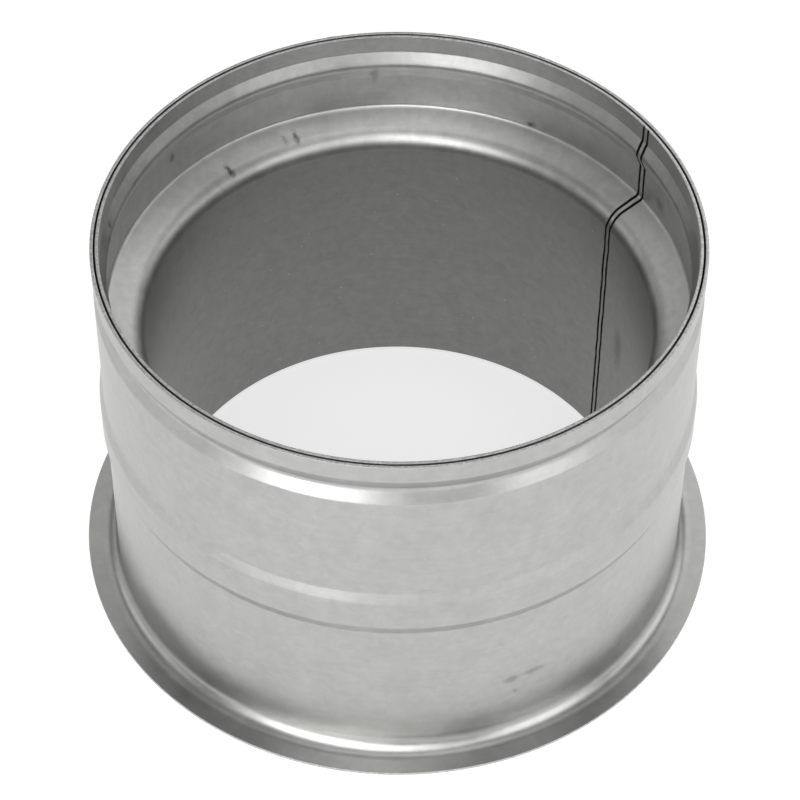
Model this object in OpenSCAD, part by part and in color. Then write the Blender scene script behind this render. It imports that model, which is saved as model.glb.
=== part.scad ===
// Double wall sleeve for a stove pipe. Two rolled and welded sheet steel sleeves sit one in the other.
// The inner one steps in below its collar to carry the pipe, and the outer one flares into a foot flange.
// Each sleeve is one strip of sheet, given by the line through the middle of the sheet and spun about Z.
// The underside of the foot flange lies at z = 0, and +Z points to the open rim.

/* [Sheet] */
// Thickness of the steel sheet of both sleeves
sheet = 1; // [0.6:0.1:1.4]
// Gap between the two sleeves at the rim
gap = 0.6; // [0.4:0.1:1]

/* [Outer sleeve] */
// Outside diameter of the plain body
body_d = 183.6; // [178:0.2:190]
// Height from the foot to the rim
height = 132.4; // [122:0.2:150]
// Outside diameter of the foot flange
flange_d = 203.2; // [198:0.2:220]
// Radius of the flare between the body and the flange, on the face that shows
flare_r = 5; // [3:0.5:6]

/* [Raised band] */
// Height of the middle of the raised band above the foot
band_z = 67.4; // [50:0.2:75]
// Height of the raised band, with both of its ramps
band_h = 18.4; // [14:0.2:24]
// Height of each ramp of the band
band_ramp = 3.9; // [3:0.1:5]
// How far the band stands out of the body
band_out = 1.2; // [0.6:0.1:2]
// Radius of the bends at the band's ramps, in the middle of the sheet
band_bend = 3; // [1:0.5:4]

/* [Locking bead] */
// Distance from the rim down to the deepest point of the bead
bead_drop = 11.1; // [10:0.1:13]
// Height of each flank of the bead
bead_flank = 5; // [4:0.1:6]
// How far the bead is rolled in
bead_in = 2.1; // [1.2:0.1:2.6]
// Radius at the bottom of the bead, in the middle of the sheet
bead_bend = 3; // [2:0.5:4]
// Radius where the bead leaves the wall, in the middle of the sheet
bead_edge_bend = 1.2; // [0.8:0.1:2]

/* [Inner sleeve] */
// Inside diameter of the bore that the pipe passes through
bore_d = 155; // [148:0.2:160]
// Distance from the rim down to the corner of the shoulder
shoulder_drop = 29.5; // [24:0.1:40]
// Slope of the shoulder below the horizontal
shoulder_slope = 17.5; // [10:0.5:30]
// Radius of the corner above the shoulder, in the middle of the sheet
corner_bend = 2; // [1:0.5:3]
// Radius where the shoulder turns into the bore, in the middle of the sheet
neck_bend = 6.5; // [4:0.5:8]
// Height of the bore's lower edge above the foot
bore_foot = 1.5; // [0:0.1:6]

/* [Weld seams] */
// Width of each weld: of the outer one's cap, and between the middles of the inner one's undercuts
weld_w = 2.3; // [1.5:0.1:3]
// Height of the outer sleeve's weld above its sheet
weld_cap = 0.15; // [0.05:0.05:0.3]
// Width of each undercut beside the inner sleeve's weld
undercut_w = 0.9; // [0.4:0.1:1.2]
// Depth of each undercut in the sheet
undercut = 0.25; // [0.1:0.05:0.35]
// Direction of the inner sleeve's weld, turned from +X
inner_weld_az = 32; // [0:1:359]
// Direction of the outer sleeve's weld, turned from +X
outer_weld_az = 104; // [0:1:359]

/* [Hidden] */
$fn = 180;
BEND_STEP = 9;
CUT_OVER = 0.5;
CAP_SHORT = 0.3;

body_mid = body_d / 2 - sheet / 2;
collar_mid = body_mid - sheet - gap;
bore_mid = bore_d / 2 + sheet / 2;
flare_mid = flare_r + sheet / 2;
bead_z = height - bead_drop;
corner_z = height - shoulder_drop;
neck_z = corner_z - (collar_mid - bore_mid) * tan(shoulder_slope);

function unit(v) = v / norm(v);
function left(d) = [-d.y, d.x];
function turned(d, a) = [d.x * cos(a) - d.y * sin(a), d.x * sin(a) + d.y * cos(a)];
function turn_between(a, b) = atan2(cross(a, b), a * b);
function reversed(list) = [for (k = [len(list) - 1:-1:0]) list[k]];

// A bend of the sheet: points on the arc that joins two straight runs, each with its normal
function bend(before, at, after, radius) =
    let (
        d_in = unit(at - before),
        turn = turn_between(d_in, unit(after - at)),
        side = sign(turn),
        start = at - d_in * radius * tan(abs(turn) / 2),
        centre = start + left(d_in) * side * radius,
        steps = ceil(abs(turn) / BEND_STEP)
    )
    [for (k = [0:steps])
        let (d = turned(d_in, turn * k / steps))
        [centre - left(d) * side * radius, left(d)]];

// The middle line of a sleeve from its corners [[r, z], bend radius], with its two ends run on
function strip(corners, run_on = 0) =
    let (
        p = [for (c = corners) c[0]],
        n = len(p) - 1,
        first = unit(p[1] - p[0]),
        last = unit(p[n] - p[n - 1])
    )
    concat(
        [[p[0] - first * run_on, left(first)]],
        [for (k = [1:n - 1]) each bend(p[k - 1], p[k], p[k + 1], corners[k][1])],
        [[p[n] + last * run_on, left(last)]]
    );

function face(path, shift) = [for (s = path) s[0] + s[1] * shift];

// The layer of a strip between two distances from its middle line
module layer(path, from, to) {
    polygon(concat(face(path, from), reversed(face(path, to))));
}

// The locking bead, rolled into both sleeves at one height, from below upwards
function bead(r) = [
    [[r, bead_z - bead_flank], bead_edge_bend],
    [[r - bead_in, bead_z], bead_bend],
    [[r, bead_z + bead_flank], bead_edge_bend]
];

// The raised band, from below upwards
function raised_band(r) = [
    [[r, band_z - band_h / 2], band_bend],
    [[r + band_out, band_z - band_h / 2 + band_ramp], band_bend],
    [[r + band_out, band_z + band_h / 2 - band_ramp], band_bend],
    [[r, band_z + band_h / 2], band_bend]
];

// From the edge of the foot flange up to the rim
outer_corners = concat(
    [[[flange_d / 2, sheet / 2], 0], [[body_mid, sheet / 2], flare_mid]],
    raised_band(body_mid),
    bead(body_mid),
    [[[body_mid, height], 0]]
);

// From the lower edge of the bore up to the rim
inner_corners = concat(
    [[[bore_mid, bore_foot], 0], [[bore_mid, neck_z], neck_bend], [[collar_mid, corner_z], corner_bend]],
    bead(collar_mid),
    [[[collar_mid, height], 0]]
);

// A sleeve without its weld
module plain_sleeve(corners) {
    rotate_extrude()
        layer(strip(corners), -sheet / 2, sheet / 2);
}

// A narrow piece of a sleeve's layer, run along its weld at an azimuth and a distance beside it
module weld_run(corners, run_on, from, to, azimuth, beside, width) {
    degrees_per_mm = 180 / PI / (body_d / 2);
    rotate([0, 0, azimuth + (beside - width / 2) * degrees_per_mm])
        rotate_extrude(angle = width * degrees_per_mm)
            layer(strip(corners, run_on), from, to);
}

// The outer face lies to the right of the strip, and its weld stands a little proud of it
module outer_sleeve() {
    color("silver") union() {
        plain_sleeve(outer_corners);
        weld_run(outer_corners, -CAP_SHORT, -sheet / 2 - weld_cap, 0, outer_weld_az, 0, weld_w);
    }
}

// The face that shows lies to the left of the strip, and its weld has an undercut on each side
module inner_sleeve() {
    color("gray") difference() {
        plain_sleeve(inner_corners);
        for (edge = [-1, 1])
            weld_run(inner_corners, CUT_OVER, sheet / 2 - undercut, sheet / 2 + CUT_OVER,
                inner_weld_az, edge * weld_w / 2, undercut_w);
    }
}

outer_sleeve();
inner_sleeve();
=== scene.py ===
"""The looks of a wall sleeve for a stove pipe: two rolled sheet steel sleeves, one in the other.

The outer sleeve flares into a foot flange and has a raised band. The inner one steps in below its collar
to carry the pipe. Lengths are in metres, heights are above the underside of the foot flange, and MM turns
the sizes that a sheet metal worker would write down into metres.
"""

import logging
import math
from dataclasses import dataclass, field
from enum import Enum
from typing import Any, Iterable, Sequence

import bmesh
import bpy
from mathutils import Matrix, Quaternion, Vector

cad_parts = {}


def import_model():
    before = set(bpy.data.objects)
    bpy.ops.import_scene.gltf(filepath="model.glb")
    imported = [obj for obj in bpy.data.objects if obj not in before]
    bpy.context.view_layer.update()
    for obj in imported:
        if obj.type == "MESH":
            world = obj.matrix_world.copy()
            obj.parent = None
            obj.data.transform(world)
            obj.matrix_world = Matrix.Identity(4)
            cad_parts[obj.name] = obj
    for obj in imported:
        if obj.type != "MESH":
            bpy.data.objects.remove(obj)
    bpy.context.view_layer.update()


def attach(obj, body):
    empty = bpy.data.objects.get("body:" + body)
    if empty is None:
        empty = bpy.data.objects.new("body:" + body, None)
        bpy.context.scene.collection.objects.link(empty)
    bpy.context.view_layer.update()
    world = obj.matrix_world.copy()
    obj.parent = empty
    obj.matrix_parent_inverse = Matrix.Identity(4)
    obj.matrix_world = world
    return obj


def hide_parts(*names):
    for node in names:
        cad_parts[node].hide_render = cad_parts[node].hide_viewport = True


LOG = logging.getLogger("wall_sleeve")

MM = 0.001
ORIGIN = Vector((0.0, 0.0, 0.0))
UP = Vector((0.0, 0.0, 1.0))


class Side(Enum):
    """The face of a strip of sheet that shows, seen along the strip from below upwards."""

    LEFT = 1
    RIGHT = -1


class Finish(Enum):
    """The material slots of a sleeve's mesh, in their order."""

    SHEET = 0
    CUT_EDGE = 1


@dataclass(frozen=True)
class Corner:
    """A corner of a strip's middle line.

    Attributes:
        r: Distance from the axis.
        z: Height above the foot.
        bend: Radius of the bend that rounds it, in the middle of the sheet.
    """

    r: float
    z: float
    bend: float = 0.0

    @property
    def place(self) -> Vector:
        """The corner in the plane y = 0."""
        return Vector((self.r, 0.0, self.z))


@dataclass(frozen=True)
class Weld:
    """A lengthwise butt weld on the face of a sleeve that shows.

    Attributes:
        azimuth: Direction of its middle, in degrees from +X.
        width: Width of the weld itself.
        cap: Height of the weld above the sheet.
        undercut_width: Width of the undercut on each side.
        undercut: Depth of each undercut.
        reach: Half the width of the stretch that gets close columns of faces.
    """

    azimuth: float
    width: float = 2.3 * MM
    cap: float = 0.0
    undercut_width: float = 0.9 * MM
    undercut: float = 0.0
    reach: float = 3.2 * MM

    def height(self, off: float) -> float:
        """How far the surface stands out at a distance from the weld's middle.

        Args:
            off: The distance round the sleeve from the weld's middle.

        Returns:
            The height above the plain sheet, negative in an undercut.
        """
        half = self.width / 2
        crown = self.cap * max(0.0, 1.0 - (off / half) ** 4) if abs(off) < half else 0.0
        beside = (abs(off) - half) / (self.undercut_width / 2)
        groove = self.undercut * (1.0 + math.cos(math.pi * beside)) / 2 if abs(beside) < 1.0 else 0.0
        return crown - groove


def srgb(hex_colour: str) -> tuple[float, float, float, float]:
    """Turns an sRGB hex colour into the linear colour that a shader takes.

    Args:
        hex_colour: Six hex digits, such as "c8c8c6".

    Returns:
        Red, green, blue and an alpha of 1.
    """
    parts = [int(hex_colour[k : k + 2], 16) / 255 for k in (0, 2, 4)]
    linear = [p / 12.92 if p <= 0.04045 else ((p + 0.055) / 1.055) ** 2.4 for p in parts]
    return (linear[0], linear[1], linear[2], 1.0)


def add(tree: bpy.types.NodeTree, kind: str, links: dict[Any, Any] | None = None, **settings: Any) -> Any:
    """Adds a node with its settings and its inputs.

    Args:
        tree: The node tree that gets the node.
        kind: The node's type name.
        links: What goes into each input, by name or number: an output socket, or a plain value.
        settings: The node's own settings.

    Returns:
        The new node.
    """
    node = tree.nodes.new(kind)
    for name, value in settings.items():
        setattr(node, name, value)
    for name, value in (links or {}).items():
        if isinstance(value, bpy.types.NodeSocket):
            tree.links.new(value, node.inputs[name])
        else:
            node.inputs[name].default_value = value
    return node


class SheetLine:
    """The line of one face of a strip of sheet, drawn in the plane y = 0 as a chain of edges."""

    STEP = math.radians(6.0)
    SUPPORT = 0.35 * MM

    def __init__(self, corners: Sequence[Corner], shift: float) -> None:
        """Draws the line.

        Args:
            corners: The corners of the strip's middle line, from below upwards.
            shift: How far the face lies to the left of the middle line.
        """
        self.mesh = bmesh.new()
        self.shift = shift
        self.draw(corners)

    @staticmethod
    def left(direction: Vector) -> Vector:
        """The direction turned a quarter to the left, in the plane y = 0."""
        return Vector((-direction.z, 0.0, direction.x))

    def draw(self, corners: Sequence[Corner]) -> None:
        """Draws every straight run and bend.

        Args:
            corners: The corners of the strip's middle line.
        """
        places = [c.place for c in corners]
        heading = (places[1] - places[0]).normalized()
        tip = self.mesh.verts.new(places[0] + self.left(heading) * self.shift)
        for at, after, corner in zip(places[1:], places[2:], corners[1:]):
            onward = (after - at).normalized()
            turn = math.atan2(heading.x * onward.z - heading.z * onward.x, heading.dot(onward))
            start = at - heading * corner.bend * math.tan(abs(turn) / 2)
            tip = self.run(tip, start + self.left(heading) * self.shift)
            centre = start + self.left(heading) * math.copysign(corner.bend, turn)
            tip = self.bend(tip, centre, turn)
            heading = onward
        self.run(tip, places[-1] + self.left(heading) * self.shift)

    def run(self, tip: bmesh.types.BMVert, end: Vector) -> bmesh.types.BMVert:
        """Draws a straight run, with a short edge at each end that keeps its shading flat.

        Args:
            tip: The line's last vertex.
            end: The end of the run.

        Returns:
            The new last vertex.
        """
        way = end - tip.co
        stops = [way * 0.5, way]
        if way.length > 3 * self.SUPPORT:
            stops = [way.normalized() * self.SUPPORT, way - way.normalized() * self.SUPPORT, way]
        start = tip.co.copy()
        for stop in stops:
            tip = bmesh.ops.extrude_vert_indiv(self.mesh, verts=[tip])["verts"][0]
            tip.co = start + stop
        return tip

    def bend(self, tip: bmesh.types.BMVert, centre: Vector, turn: float) -> bmesh.types.BMVert:
        """Draws a bend as an arc.

        Args:
            tip: The line's last vertex, where the arc starts.
            centre: The arc's centre.
            turn: The angle that the strip turns through, positive to the left.

        Returns:
            The new last vertex.
        """
        steps = max(2, math.ceil(abs(turn) / self.STEP))
        spun = bmesh.ops.spin(
            self.mesh, geom=[tip], cent=centre, axis=(0.0, -1.0, 0.0), angle=turn, steps=steps
        )
        return next(g for g in spun["geom_last"] if isinstance(g, bmesh.types.BMVert))


@dataclass
class Sleeve:
    """One sleeve of rolled and welded sheet.

    Attributes:
        name: Name of its mesh object.
        node: Name of the CAD node that it stands for.
        slot: The record's material slot. Not used.
        corners: The corners of its middle line, from below upwards.
        side: The face that shows.
        weld: Its lengthwise weld, on that face.
        sheet: Thickness of the sheet.
    """

    name: str
    node: str
    slot: str
    corners: list[Corner]
    side: Side
    weld: Weld
    sheet: float

    COLUMNS = 360
    WELD_COLUMNS = 48
    EDGE_BREAK = 0.12 * MM
    EDGE_STEPS = 2
    SHARP = math.radians(32.0)
    CUT_ANGLE = math.radians(60.0)
    # Points this close are one: more than the rounding that builds up over a whole turn of the spin, and
    # less than the shortest step of a bend
    MERGE = 0.02 * MM
    SPECK = 0.001 * MM
    ROUND_GIRTH = 2 * math.pi * 90 * MM

    def build(self) -> bpy.types.Object:
        """Spins the line of the face that shows about Z, and gives the wall its thickness.

        Returns:
            The sleeve's mesh object.
        """
        bm = SheetLine(self.corners, self.side.value * self.sheet / 2).mesh
        self.note_lengths(bm)
        self.spin(bm)
        shown = [(vert, vert.normal.copy()) for vert in bm.verts]
        self.thicken(bm)
        self.shape_weld(shown)
        self.break_edges(bm)
        self.lay_map(bm)
        self.finish_shading(bm)
        mesh = bpy.data.meshes.new(self.name)
        bm.to_mesh(mesh)
        bm.free()
        obj = bpy.data.objects.new(self.name, mesh)
        bpy.context.scene.collection.objects.link(obj)
        return obj

    def note_lengths(self, bm: bmesh.types.BMesh) -> None:
        """Keeps, on each vertex of the line, its distance along the strip from the lower end."""
        along = bm.verts.layers.float.new("along")
        bm.verts.ensure_lookup_table()
        vert = bm.verts[0]
        seen = {vert}
        while True:
            onward = [e.other_vert(vert) for e in vert.link_edges if e.other_vert(vert) not in seen]
            if not onward:
                return
            onward[0][along] = vert[along] + (onward[0].co - vert.co).length
            vert = onward[0]
            seen.add(vert)

    def spin(self, bm: bmesh.types.BMesh) -> None:
        """Spins the line once round, with close columns of faces at the weld."""
        reach = self.weld.reach / self.corners[-1].r
        start = math.radians(self.weld.azimuth) + reach
        bmesh.ops.rotate(bm, verts=bm.verts, cent=ORIGIN, matrix=Matrix.Rotation(start, 3, "Z"))
        tip: list[Any] = [*bm.verts, *bm.edges]
        for angle, steps in ((2 * math.pi - 2 * reach, self.COLUMNS), (2 * reach, self.WELD_COLUMNS)):
            spun = bmesh.ops.spin(bm, geom=tip, cent=ORIGIN, axis=UP, angle=angle, steps=steps)
            tip = spun["geom_last"]
        bmesh.ops.remove_doubles(bm, verts=bm.verts, dist=self.MERGE)
        outwards = self.side is Side.RIGHT
        face = max(bm.faces, key=lambda f: f.calc_area())
        centre = face.calc_center_median()
        face.normal_update()
        if (face.normal.dot(Vector((centre.x, centre.y, 0.0))) > 0) is not outwards:
            bmesh.ops.reverse_faces(bm, faces=bm.faces)
        bm.normal_update()

    def thicken(self, bm: bmesh.types.BMesh) -> None:
        """Gives the wall its thickness behind the face that shows."""
        bmesh.ops.solidify(bm, geom=bm.faces[:], thickness=self.sheet)
        bm.normal_update()

    def shape_weld(self, shown: Iterable[tuple[bmesh.types.BMVert, Vector]]) -> None:
        """Raises the weld and sinks its undercuts, on the face that shows.

        Args:
            shown: Each vertex of that face, with its normal.
        """
        middle = math.radians(self.weld.azimuth)
        for vert, normal in shown:
            turn = math.remainder(math.atan2(vert.co.y, vert.co.x) - middle, 2 * math.pi)
            off = turn * self.corners[-1].r
            if abs(off) < self.weld.reach:
                vert.co += normal * self.weld.height(off)

    def break_edges(self, bm: bmesh.types.BMesh) -> None:
        """Takes the sharpness off the cut edges of the sheet."""
        edges = [e for e in bm.edges if e.is_manifold and e.calc_face_angle() > self.CUT_ANGLE]
        bmesh.ops.bevel(
            bm,
            geom=edges,
            affect="EDGES",
            offset=self.EDGE_BREAK,
            segments=self.EDGE_STEPS,
            profile=0.5,
            material=-1,
            clamp_overlap=False,
        )
        bmesh.ops.dissolve_degenerate(bm, dist=self.SPECK, edges=bm.edges)
        bm.normal_update()

    def lay_map(self, bm: bmesh.types.BMesh) -> None:
        """Lays a map on the sheet: u round the sleeve from the weld, v along the strip, both in metres."""
        along = bm.verts.layers.float["along"]
        uv = bm.loops.layers.uv.new("sheet")
        start = math.radians(self.weld.azimuth)
        turn = 2 * math.pi
        for face in bm.faces:
            centre = face.calc_center_median()
            middle = (math.atan2(centre.y, centre.x) - start) % turn
            for loop in face.loops:
                here = (math.atan2(loop.vert.co.y, loop.vert.co.x) - start) % turn
                here += turn * round((middle - here) / turn)
                loop[uv].uv = (here / turn * self.ROUND_GIRTH, loop.vert[along])

    def finish_shading(self, bm: bmesh.types.BMesh) -> None:
        """Shades the sheet smooth, with crisp cut edges of their own finish."""
        for edge in bm.edges:
            edge.smooth = not (edge.is_manifold and edge.calc_face_angle() > self.SHARP)
        along = bm.verts.layers.float["along"]
        upper_end = max(vert[along] for vert in bm.verts)
        for face in bm.faces:
            face.smooth = True
            ends = [min(vert[along], upper_end - vert[along]) for vert in face.verts]
            face.material_index = (Finish.CUT_EDGE if max(ends) < self.EDGE_BREAK else Finish.SHEET).value


@dataclass
class WallSleeve:
    """The whole fitting: the two sleeves and the sizes that they share."""

    sheet: float = 1.0 * MM
    gap: float = 0.6 * MM
    body_d: float = 183.6 * MM
    height: float = 132.4 * MM
    flange_d: float = 203.2 * MM
    flare_r: float = 5.0 * MM
    band_z: float = 67.4 * MM
    band_h: float = 18.4 * MM
    band_ramp: float = 3.9 * MM
    band_out: float = 1.2 * MM
    band_bend: float = 3.0 * MM
    bead_drop: float = 11.1 * MM
    bead_flank: float = 5.0 * MM
    bead_in: float = 2.1 * MM
    bead_bend: float = 3.0 * MM
    bead_edge_bend: float = 1.2 * MM
    bore_d: float = 155.0 * MM
    shoulder_drop: float = 29.5 * MM
    shoulder_slope: float = math.radians(17.5)
    corner_bend: float = 2.0 * MM
    neck_bend: float = 6.5 * MM
    bore_foot: float = 1.5 * MM
    inner_weld: Weld = field(default_factory=lambda: Weld(azimuth=32.0, undercut=0.25 * MM))
    outer_weld: Weld = field(default_factory=lambda: Weld(azimuth=104.0, cap=0.15 * MM))

    @property
    def body_mid(self) -> float:
        """Radius of the middle of the outer sleeve's sheet."""
        return self.body_d / 2 - self.sheet / 2

    @property
    def collar_mid(self) -> float:
        """Radius of the middle of the inner sleeve's sheet at its collar."""
        return self.body_mid - self.sheet - self.gap

    def bead(self, r: float) -> list[Corner]:
        """The locking bead's corners, rolled into both sleeves at one height."""
        z = self.height - self.bead_drop
        return [
            Corner(r, z - self.bead_flank, self.bead_edge_bend),
            Corner(r - self.bead_in, z, self.bead_bend),
            Corner(r, z + self.bead_flank, self.bead_edge_bend),
        ]

    def band(self, r: float) -> list[Corner]:
        """The raised band's corners."""
        low, high = self.band_z - self.band_h / 2, self.band_z + self.band_h / 2
        return [
            Corner(r, low, self.band_bend),
            Corner(r + self.band_out, low + self.band_ramp, self.band_bend),
            Corner(r + self.band_out, high - self.band_ramp, self.band_bend),
            Corner(r, high, self.band_bend),
        ]

    def outer(self) -> Sleeve:
        """The outer sleeve, from the edge of the foot flange up to the rim."""
        r, base = self.body_mid, self.sheet / 2
        corners = [
            Corner(self.flange_d / 2, base),
            Corner(r, base, self.flare_r + self.sheet / 2),
            *self.band(r),
            *self.bead(r),
            Corner(r, self.height),
        ]
        names = ("outer_sleeve_sheet", "outer_sleeve", "outer_steel")
        return Sleeve(*names, corners, Side.RIGHT, self.outer_weld, self.sheet)

    def inner(self) -> Sleeve:
        """The inner sleeve, from the lower edge of the bore up to the rim."""
        bore, collar = self.bore_d / 2 + self.sheet / 2, self.collar_mid
        corner_z = self.height - self.shoulder_drop
        neck_z = corner_z - (collar - bore) * math.tan(self.shoulder_slope)
        corners = [
            Corner(bore, self.bore_foot),
            Corner(bore, neck_z, self.neck_bend),
            Corner(collar, corner_z, self.corner_bend),
            *self.bead(collar),
            Corner(collar, self.height),
        ]
        names = ("inner_sleeve_sheet", "inner_sleeve", "inner_steel")
        return Sleeve(*names, corners, Side.LEFT, self.inner_weld, self.sheet)

    def build(self) -> None:
        """Builds and dresses both sleeves."""
        finishes = {
            "outer_sleeve": RolledSteel(
                "rolled_steel_outer",
                "b4b4b2",
                "a6a6a4",
                self.outer_weld,
                OUTER_MARKS,
            ),
            "inner_sleeve": RolledSteel(
                "rolled_steel_inner",
                "c2c2c0",
                "aeaeac",
                self.inner_weld,
                INNER_MARKS,
                # Painted shade: the metal down the bore is darkened for the dim light in the deep well.
                bore="b4b4b3",
                bore_end=95 * MM,
                roughness=0.42,
            ),
        }
        edge = ShearedEdge().make()
        for sleeve in (self.outer(), self.inner()):
            piece = sleeve.build()
            piece.data.materials.append(finishes[sleeve.node].make())
            piece.data.materials.append(edge)
            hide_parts(sleeve.node)
            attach(piece, "root")
            LOG.info("%s: %d faces", piece.name, len(piece.data.polygons))


@dataclass(frozen=True)
class Mark:
    """A soft dark mark on the sheet: on the outer sleeve a dirty smear from handling, on the inner sleeve a
    witness mark of the forming tool, darkened with painted shade.

    Attributes:
        azimuth: Direction of its middle from the axis, in degrees from +X.
        r: Distance of its middle from the axis.
        z: Height of its middle above the foot.
        width: Half its width round the sleeve.
        height: Half its height.
        depth: Share of the light that it takes.
    """

    azimuth: float
    r: float
    z: float
    width: float
    height: float
    depth: float


OUTER_MARKS = (
    Mark(-63.0, 91.8 * MM, 27.6 * MM, 4.5 * MM, 1.6 * MM, 0.3),
    Mark(-67.5, 91.8 * MM, 27.0 * MM, 3.0 * MM, 2.0 * MM, 0.3),
    Mark(-66.7, 91.8 * MM, 20.7 * MM, 1.2 * MM, 1.0 * MM, 0.25),
    Mark(-84.0, 91.8 * MM, 78.0 * MM, 3.0 * MM, 0.5 * MM, 0.12),
)
# Witness marks of the forming tool inside the inner sleeve, with painted shade: they are darkened where the
# reflections break on the slight flats and dents that the tool left, which the mesh does not have.
INNER_MARKS = (
    Mark(131.7, 82.4 * MM, 100.2 * MM, 1.5 * MM, 1.4 * MM, 0.85),
    Mark(113.9, 83.8 * MM, 100.7 * MM, 1.1 * MM, 1.6 * MM, 0.7),
    Mark(116.6, 84.5 * MM, 101.0 * MM, 1.0 * MM, 1.0 * MM, 0.35),
    Mark(143.4, 89.2 * MM, 113.2 * MM, 1.3 * MM, 2.2 * MM, 0.45),
    Mark(95.5, 88.4 * MM, 117.5 * MM, 1.6 * MM, 4.0 * MM, 0.3),
    Mark(172.3, 88.1 * MM, 123.9 * MM, 1.4 * MM, 1.4 * MM, 0.4),
    Mark(175.3, 87.4 * MM, 122.1 * MM, 1.4 * MM, 1.2 * MM, 0.35),
    Mark(61.9, 89.2 * MM, 105.2 * MM, 1.8 * MM, 1.0 * MM, 0.65),
    Mark(24.8, 89.2 * MM, 109.3 * MM, 3.2 * MM, 2.6 * MM, 0.35),
    Mark(23.6, 77.5 * MM, 51.0 * MM, 2.6 * MM, 9.0 * MM, 0.35),
)


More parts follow.
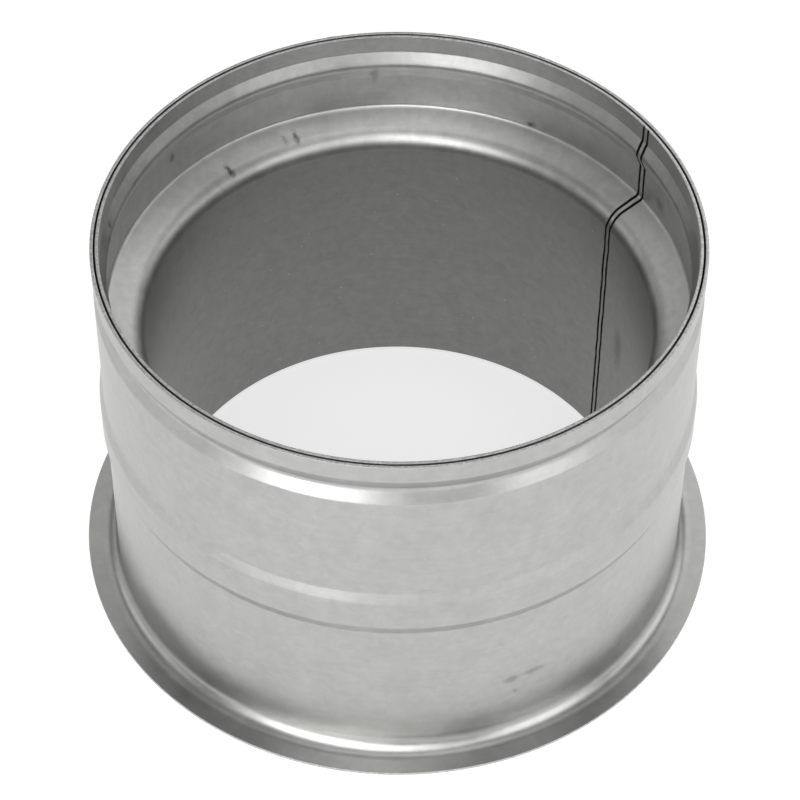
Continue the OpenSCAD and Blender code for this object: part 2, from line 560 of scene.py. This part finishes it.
@dataclass(frozen=True)
class RolledSteel:
    """Cold rolled mild steel sheet as it leaves the mill, oiled, rolled round and handled.

    The rolls leave it smooth and satin, so it mirrors its surroundings softly. The eye sees faint clouds
    from the oil and the mill, fine lines along the rolling direction, bright nicks, and marks of handling
    and of the forming tool. Painted shade darkens a bore, the weld's undercuts and the tool's marks.

    Attributes:
        name: The material's name.
        light: Colour of the clean metal.
        dark: Colour of the metal under the oil's clouds.
        marks: The dark marks: dirt from handling, and tool marks darkened with painted shade.
        bore: Colour that darkens a bore, as painted shade for the dim light down it, or nothing.
        bore_end: Distance along the sheet at which the bore's painted shade ends.
        weld: The sleeve's weld.
        roughness: Roughness of the rolled skin.
    """

    name: str
    light: str
    dark: str
    weld: Weld
    marks: tuple[Mark, ...] = ()
    bore: str = ""
    bore_end: float = 0.0
    roughness: float = 0.34

    # Sizes of what the eye can tell apart on the sheet
    CLOUD = 13 * MM
    MOTTLE = 3.2 * MM
    GRAIN = 0.55 * MM
    ROLL_LINE = 0.9 * MM
    NICK_SPACING = 5 * MM
    NICK = 0.32 * MM
    WAVE = 16 * MM
    # Heights of the unevenness that bends the reflections
    WAVE_HEIGHT = 0.09 * MM
    GRAIN_HEIGHT = 0.008 * MM
    # Length over which the bore's painted shade fades out
    BORE_SHADE_FADE = 3 * MM
    # A mark's ragged edge: the size of its pattern, how far it wanders, and the mark's reach into the sheet
    RAGGED = 1.6 * MM
    WANDER = 2.2 * MM
    MARK_REACH = 4 * MM
    # The weld's line: the length and the width of its sway, and where its burnt line with painted shade and
    # its heat tint fade
    SWAY_LENGTH = 9 * MM
    SWAY = 0.55 * MM
    BURN_AND_SHADE_FADE = (0.3 * MM, 0.72 * MM)
    TINT = (1.2 * MM, 4.5 * MM)
    NICK_COLOUR = "e8e8e6"
    # Near black: the undercuts' burnt oxide, with painted shade for their depth
    BURN_AND_SHADE_COLOUR = "161616"

    def make(self) -> bpy.types.Material:
        """Makes the material.

        Returns:
            The new material.
        """
        material = bpy.data.materials.new(self.name)
        material.use_nodes = True
        tree = material.node_tree
        tree.nodes.clear()
        place = add(tree, "ShaderNodeTexCoord").outputs["Object"]
        chart = add(tree, "ShaderNodeUVMap", uv_map="sheet").outputs[0]
        sheet = add(tree, "ShaderNodeSeparateXYZ", {0: chart}).outputs
        clouds = add(
            tree,
            "ShaderNodeTexNoise",
            {"Vector": place, "Scale": 1 / self.CLOUD, "Detail": 5.0, "Roughness": 0.6},
        ).outputs[0]
        colour = self.skin(tree, place, clouds, sheet[1])
        colour = self.add_dark_marks(tree, place, colour)
        colour, dull = self.welded(tree, sheet[0], sheet[1], colour)
        rough = add(
            tree,
            "ShaderNodeMapRange",
            {0: clouds, 1: 0.3, 2: 0.7, 3: self.roughness - 0.03, 4: self.roughness + 0.04},
        ).outputs[0]
        rough = add(tree, "ShaderNodeMath", {0: rough, 1: dull}, operation="ADD").outputs[0]
        shader = add(
            tree,
            "ShaderNodeBsdfPrincipled",
            {"Base Color": colour, "Metallic": 1.0, "Roughness": rough, "Normal": self.relief(tree, place)},
        )
        add(tree, "ShaderNodeOutputMaterial", {"Surface": shader.outputs[0]})
        return material

    def skin(self, tree: bpy.types.NodeTree, place: Any, clouds: Any, along: Any) -> Any:
        """Colours the rolled skin, with its clouds, rolling lines and bright nicks, and paints shade down a
        bore.

        Args:
            tree: The material's node tree.
            place: The place on the piece, in metres.
            clouds: The broad clouds, from 0 to 1.
            along: The distance along the sheet.

        Returns:
            The colour.
        """
        mottle = add(
            tree,
            "ShaderNodeTexNoise",
            {"Vector": place, "Scale": 1 / self.MOTTLE, "Detail": 4.0, "Distortion": 0.6},
        ).outputs[0]
        flat = add(tree, "ShaderNodeMapping", {"Vector": place, "Scale": (0.05, 0.05, 1.0)}).outputs[0]
        lines = add(
            tree, "ShaderNodeTexNoise", {"Vector": flat, "Scale": 1 / self.ROLL_LINE, "Detail": 3.0}
        ).outputs[0]
        both = add(tree, "ShaderNodeMath", {0: clouds, 1: mottle}, operation="ADD").outputs[0]
        both = add(tree, "ShaderNodeMath", {0: lines, 1: 0.45, 2: both}, operation="MULTIPLY_ADD").outputs[0]
        share = add(tree, "ShaderNodeMapRange", {0: both, 1: 0.85, 2: 1.6, 3: 0.0, 4: 1.0}).outputs[0]
        colour = add(
            tree, "ShaderNodeMix", {0: share, 6: srgb(self.dark), 7: srgb(self.light)}, data_type="RGBA"
        ).outputs[2]
        # Painted shade: down the bore the colour is multiplied by a darker one, for the dim light in the
        # deep well; dull holds that shaded colour.
        if self.bore:
            clear_of_bore_shade = add(
                tree,
                "ShaderNodeMapRange",
                {0: along, 1: self.bore_end - self.BORE_SHADE_FADE, 2: self.bore_end + self.BORE_SHADE_FADE},
                interpolation_type="SMOOTHSTEP",
            ).outputs[0]
            dull = add(
                tree,
                "ShaderNodeMix",
                {0: 1.0, 6: colour, 7: srgb(self.bore)},
                data_type="RGBA",
                blend_type="MULTIPLY",
            ).outputs[2]
            colour = add(tree, "ShaderNodeMix", {0: clear_of_bore_shade, 6: dull, 7: colour}, data_type="RGBA").outputs[2]
        nicks = add(tree, "ShaderNodeTexVoronoi", {"Vector": place, "Scale": 1 / self.NICK_SPACING}).outputs
        nick = add(
            tree,
            "ShaderNodeMapRange",
            {
                0: nicks["Distance"],
                1: self.NICK / self.NICK_SPACING,
                2: 0.3 * self.NICK / self.NICK_SPACING,
                3: 0.0,
                4: 0.35,
            },
        ).outputs[0]
        return add(
            tree,
            "ShaderNodeMix",
            {0: nick, 6: colour, 7: srgb(self.NICK_COLOUR)},
            data_type="RGBA",
        ).outputs[2]

    def add_dark_marks(self, tree: bpy.types.NodeTree, place: Any, colour: Any) -> Any:
        """Adds the dark marks, with ragged edges: dirt from handling, and tool marks darkened with painted
        shade.

        Args:
            tree: The material's node tree.
            place: The place on the piece.
            colour: The colour so far.

        Returns:
            The colour with its marks.
        """
        ragged = add(
            tree, "ShaderNodeTexNoise", {"Vector": place, "Scale": 1 / self.RAGGED, "Detail": 3.0}
        ).outputs["Color"]
        shifted = add(
            tree,
            "ShaderNodeVectorMath",
            {0: ragged, 1: (self.WANDER,) * 3, 2: place},
            operation="MULTIPLY_ADD",
        ).outputs[0]
        for mark in self.marks:
            turn = math.radians(mark.azimuth)
            middle = (
                mark.r * math.cos(turn) + self.WANDER / 2,
                mark.r * math.sin(turn) + self.WANDER / 2,
                mark.z + self.WANDER / 2,
            )
            near = add(
                tree,
                "ShaderNodeMapping",
                {
                    "Vector": shifted,
                    "Location": middle,
                    "Rotation": (0.0, 0.0, turn),
                    "Scale": (self.MARK_REACH, mark.width, mark.height),
                },
                vector_type="TEXTURE",
            ).outputs[0]
            far = add(tree, "ShaderNodeVectorMath", {0: near}, operation="LENGTH").outputs["Value"]
            left = add(
                tree,
                "ShaderNodeMapRange",
                {0: far, 1: 0.2, 2: 1.3, 3: 1.0 - mark.depth, 4: 1.0},
                interpolation_type="SMOOTHSTEP",
            ).outputs[0]
            colour = add(
                tree,
                "ShaderNodeVectorMath",
                {0: colour, "Scale": left},
                operation="SCALE",
            ).outputs[0]
        return colour

    def welded(self, tree: bpy.types.NodeTree, round_: Any, along: Any, colour: Any) -> tuple[Any, Any]:
        """Darkens the weld: a burnt line with painted shade in each undercut, or a faint heat tint where
        there is none.

        Args:
            tree: The material's node tree.
            round_: The distance round the sleeve from the weld.
            along: The distance along the sheet.
            colour: The colour so far.

        Returns:
            The colour, and how much duller the burnt metal is.
        """
        girth = Sleeve.ROUND_GIRTH
        off = add(
            tree,
            "ShaderNodeMath",
            {0: round_, 1: girth / 2, 2: -girth / 2},
            operation="WRAP",
        ).outputs[0]
        spread = add(tree, "ShaderNodeCombineXYZ", {1: along}).outputs[0]
        sway = add(
            tree, "ShaderNodeTexNoise", {"Vector": spread, "Scale": 1 / self.SWAY_LENGTH, "Detail": 2.0}
        ).outputs[0]
        sway = add(tree, "ShaderNodeMapRange", {0: sway, 3: -self.SWAY, 4: self.SWAY}).outputs[0]
        off = add(tree, "ShaderNodeMath", {0: off, 1: sway}, operation="ADD").outputs[0]
        off = add(tree, "ShaderNodeMath", {0: off}, operation="ABSOLUTE").outputs[0]
        if not self.weld.undercut:
            near, far = self.TINT
            tint = add(
                tree,
                "ShaderNodeMapRange",
                {0: off, 1: near, 2: far, 3: 0.8, 4: 1.0},
                interpolation_type="SMOOTHSTEP",
            ).outputs[0]
            dull = add(tree, "ShaderNodeMapRange", {0: off, 1: near, 2: far, 3: 0.08, 4: 0.0}).outputs[0]
            tinted = add(
                tree,
                "ShaderNodeVectorMath",
                {0: colour, "Scale": tint},
                operation="SCALE",
            ).outputs[0]
            return tinted, dull
        beside = add(
            tree,
            "ShaderNodeMath",
            {0: off, 1: self.weld.width / 2},
            operation="SUBTRACT",
        ).outputs[0]
        beside = add(tree, "ShaderNodeMath", {0: beside}, operation="ABSOLUTE").outputs[0]
        # Painted shade: each undercut is coloured near black, for its burnt oxide and for the shade down the
        # narrow groove.
        burn_and_shade = add(
            tree,
            "ShaderNodeMapRange",
            {0: beside, 1: self.BURN_AND_SHADE_FADE[0], 2: self.BURN_AND_SHADE_FADE[1], 3: 1.0, 4: 0.0},
            interpolation_type="SMOOTHSTEP",
        ).outputs[0]
        colour = add(
            tree,
            "ShaderNodeMix",
            {0: burn_and_shade, 6: colour, 7: srgb(self.BURN_AND_SHADE_COLOUR)},
            data_type="RGBA",
        ).outputs[2]
        dull = add(tree, "ShaderNodeMath", {0: burn_and_shade, 1: 0.35}, operation="MULTIPLY").outputs[0]
        return colour, dull

    def relief(self, tree: bpy.types.NodeTree, place: Any) -> Any:
        """Gives the skin its slight unevenness: broad waves from the rolling and a fine grain.

        Args:
            tree: The material's node tree.
            place: The place on the piece.

        Returns:
            The bent normal.
        """
        waves = add(
            tree,
            "ShaderNodeTexNoise",
            {"Vector": place, "Scale": 1 / self.WAVE, "Detail": 2.0},
        ).outputs[0]
        grain = add(
            tree,
            "ShaderNodeTexNoise",
            {"Vector": place, "Scale": 1 / self.GRAIN, "Detail": 2.0},
        ).outputs[0]
        broad = add(tree, "ShaderNodeBump", {"Distance": self.WAVE_HEIGHT, "Height": waves, "Strength": 1.0})
        fine = {"Distance": self.GRAIN_HEIGHT, "Height": grain, "Strength": 1.0, "Normal": broad.outputs[0]}
        return add(tree, "ShaderNodeBump", fine).outputs[0]


@dataclass(frozen=True)
class ShearedEdge:
    """The sheared edge of the sheet: bright torn metal, with fine lines across the cut."""

    light: str = "d2d2d0"
    dark: str = "a4a4a2"
    roughness: float = 0.42

    TEAR = 0.8 * MM
    TEAR_HEIGHT = 0.02 * MM

    def make(self) -> bpy.types.Material:
        """Makes the material.

        Returns:
            The new material.
        """
        material = bpy.data.materials.new("sheared_steel_edge")
        material.use_nodes = True
        tree = material.node_tree
        tree.nodes.clear()
        place = add(tree, "ShaderNodeTexCoord").outputs["Object"]
        tears = add(
            tree,
            "ShaderNodeTexNoise",
            {"Vector": place, "Scale": 1 / self.TEAR, "Detail": 4.0},
        ).outputs[0]
        share = add(tree, "ShaderNodeMapRange", {0: tears, 1: 0.3, 2: 0.7}).outputs[0]
        colour = add(
            tree, "ShaderNodeMix", {0: share, 6: srgb(self.dark), 7: srgb(self.light)}, data_type="RGBA"
        ).outputs[2]
        bend = add(
            tree,
            "ShaderNodeBump",
            {"Strength": 1.0, "Distance": self.TEAR_HEIGHT, "Height": tears},
        ).outputs[0]
        shader = add(
            tree,
            "ShaderNodeBsdfPrincipled",
            {"Base Color": colour, "Metallic": 1.0, "Roughness": self.roughness, "Normal": bend},
        )
        add(tree, "ShaderNodeOutputMaterial", {"Surface": shader.outputs[0]})
        return material


@dataclass(frozen=True)
class SoftBox:
    """A softbox that faces the object.

    Attributes:
        name: The lamp's name.
        azimuth: Its direction from the object, in degrees from +X.
        elevation: Its height above the horizon, in degrees.
        distance: Its distance from the object's middle.
        width: Its width.
        height: Its height.
        radiance: How bright its face is, where 1 is white.
    """

    name: str
    azimuth: float
    elevation: float
    distance: float
    width: float
    height: float
    radiance: float


@dataclass
class Studio:
    """The pale floor, the soft light and the camera."""

    focal_px: float = 2915.0
    frame_px: float = 800.0
    sensor: float = 36.0
    elevation: float = math.radians(47.77)
    roll: float = math.radians(0.42)
    distance: float = 919.0 * MM
    aim: Vector = field(default_factory=lambda: Vector((0.525 * MM, 0.0, 59.34 * MM)))
    floor_r: float = 4.0
    floor_tone: str = "b4b4b4"
    floor_glow: float = 0.68
    sky: float = 0.25
    clip: tuple[float, float] = (0.05, 20.0)
    floor_gap: float = 0.02 * MM
    floor_sides: int = 96
    boxes: tuple[SoftBox, ...] = (
        SoftBox("front_left_strip", 243.0, 14.0, 0.75, 0.42, 0.62, 3.9),
        SoftBox("front_panel", 266.0, 34.0, 1.1, 0.55, 0.85, 3.0),
        SoftBox("front_right_strip", 316.0, 20.0, 0.8, 0.42, 0.6, 2.5),
        SoftBox("right_panel", 8.0, 14.0, 1.0, 0.7, 0.5, 1.5),
        SoftBox("back_right_panel", 55.0, 38.0, 1.3, 0.9, 0.7, 1.1),
        SoftBox("back_panel", 90.0, 50.0, 1.3, 0.7, 0.5, 0.6),
        SoftBox("back_left_panel", 130.0, 40.0, 1.3, 0.7, 0.6, 0.6),
        SoftBox("left_panel", 175.0, 16.0, 1.2, 0.8, 0.5, 1.0),
        SoftBox("overhead", 0.0, 88.0, 1.5, 0.9, 0.9, 1.3),
    )

    def build(self) -> None:
        """Builds the whole studio."""
        self.place_camera()
        self.lay_floor()
        self.light()
        bpy.context.scene.view_settings.view_transform = "Standard"

    def place_camera(self) -> None:
        """Puts the camera where the photograph was taken from."""
        data = bpy.data.cameras.new("camera")
        data.sensor_width = self.sensor
        data.lens = self.sensor * self.focal_px / self.frame_px
        data.clip_start, data.clip_end = self.clip
        camera = bpy.data.objects.new("camera", data)
        back = Vector((0.0, -math.cos(self.elevation), math.sin(self.elevation)))
        turn = (-back).to_track_quat("-Z", "Y") @ Quaternion((0.0, 0.0, 1.0), self.roll)
        camera.matrix_world = Matrix.Translation(self.aim + back * self.distance) @ turn.to_matrix().to_4x4()
        bpy.context.scene.collection.objects.link(camera)
        bpy.context.scene.camera = camera

    def lay_floor(self) -> None:
        """Lays a plain floor of matt studio paper, which looks white and keeps the object's soft shadow."""
        bm = bmesh.new()
        bmesh.ops.create_circle(bm, cap_ends=True, segments=self.floor_sides, radius=self.floor_r)
        bmesh.ops.translate(bm, verts=bm.verts, vec=(0.0, 0.0, -self.floor_gap))
        mesh = bpy.data.meshes.new("floor")
        bm.to_mesh(mesh)
        bm.free()
        floor = bpy.data.objects.new("floor", mesh)
        bpy.context.scene.collection.objects.link(floor)
        material = bpy.data.materials.new("pale_floor")
        material.use_nodes = True
        tree = material.node_tree
        tree.nodes.clear()
        ray = add(tree, "ShaderNodeLightPath").outputs
        seen = add(
            tree,
            "ShaderNodeMath",
            {0: ray["Is Camera Ray"], 1: ray["Is Glossy Ray"]},
            operation="MAXIMUM",
        )
        seen = add(
            tree,
            "ShaderNodeMath",
            {0: seen.outputs[0], 1: ray["Is Transmission Ray"]},
            operation="MAXIMUM",
        )
        glow = add(tree, "ShaderNodeMath", {0: seen.outputs[0], 1: self.floor_glow}, operation="MULTIPLY")
        pale = add(tree, "ShaderNodeBsdfDiffuse", {"Color": srgb(self.floor_tone)})
        bright = add(tree, "ShaderNodeEmission", {"Strength": glow.outputs[0]})
        shader = add(tree, "ShaderNodeAddShader", {0: pale.outputs[0], 1: bright.outputs[0]})
        add(tree, "ShaderNodeOutputMaterial", {"Surface": shader.outputs[0]})
        mesh.materials.append(material)

    def light(self) -> None:
        """Sets the soft light."""
        world = bpy.data.worlds.new("studio")
        world.use_nodes = True
        tree = world.node_tree
        tree.nodes.clear()
        sky = add(tree, "ShaderNodeBackground", {"Color": (1.0, 1.0, 1.0, 1.0), "Strength": self.sky})
        add(tree, "ShaderNodeOutputWorld", {"Surface": sky.outputs[0]})
        bpy.context.scene.world = world
        for box in self.boxes:
            data = bpy.data.lights.new(box.name, "AREA")
            data.shape = "RECTANGLE"
            data.size, data.size_y = box.width, box.height
            data.energy = box.radiance * math.pi * box.width * box.height
            lamp = bpy.data.objects.new(box.name, data)
            a, e = math.radians(box.azimuth), math.radians(box.elevation)
            way = Vector((math.cos(a) * math.cos(e), math.sin(a) * math.cos(e), math.sin(e)))
            turn = (-way).to_track_quat("-Z", "Y").to_matrix().to_4x4()
            lamp.matrix_world = Matrix.Translation(self.aim + way * box.distance) @ turn
            bpy.context.scene.collection.objects.link(lamp)


def main() -> None:
    """Builds the sleeve in its studio round the loaded frame."""
    logging.basicConfig(level=logging.INFO, format="%(message)s")
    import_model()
    Studio().build()
    WallSleeve().build()


if __name__ == "__main__":
    main()
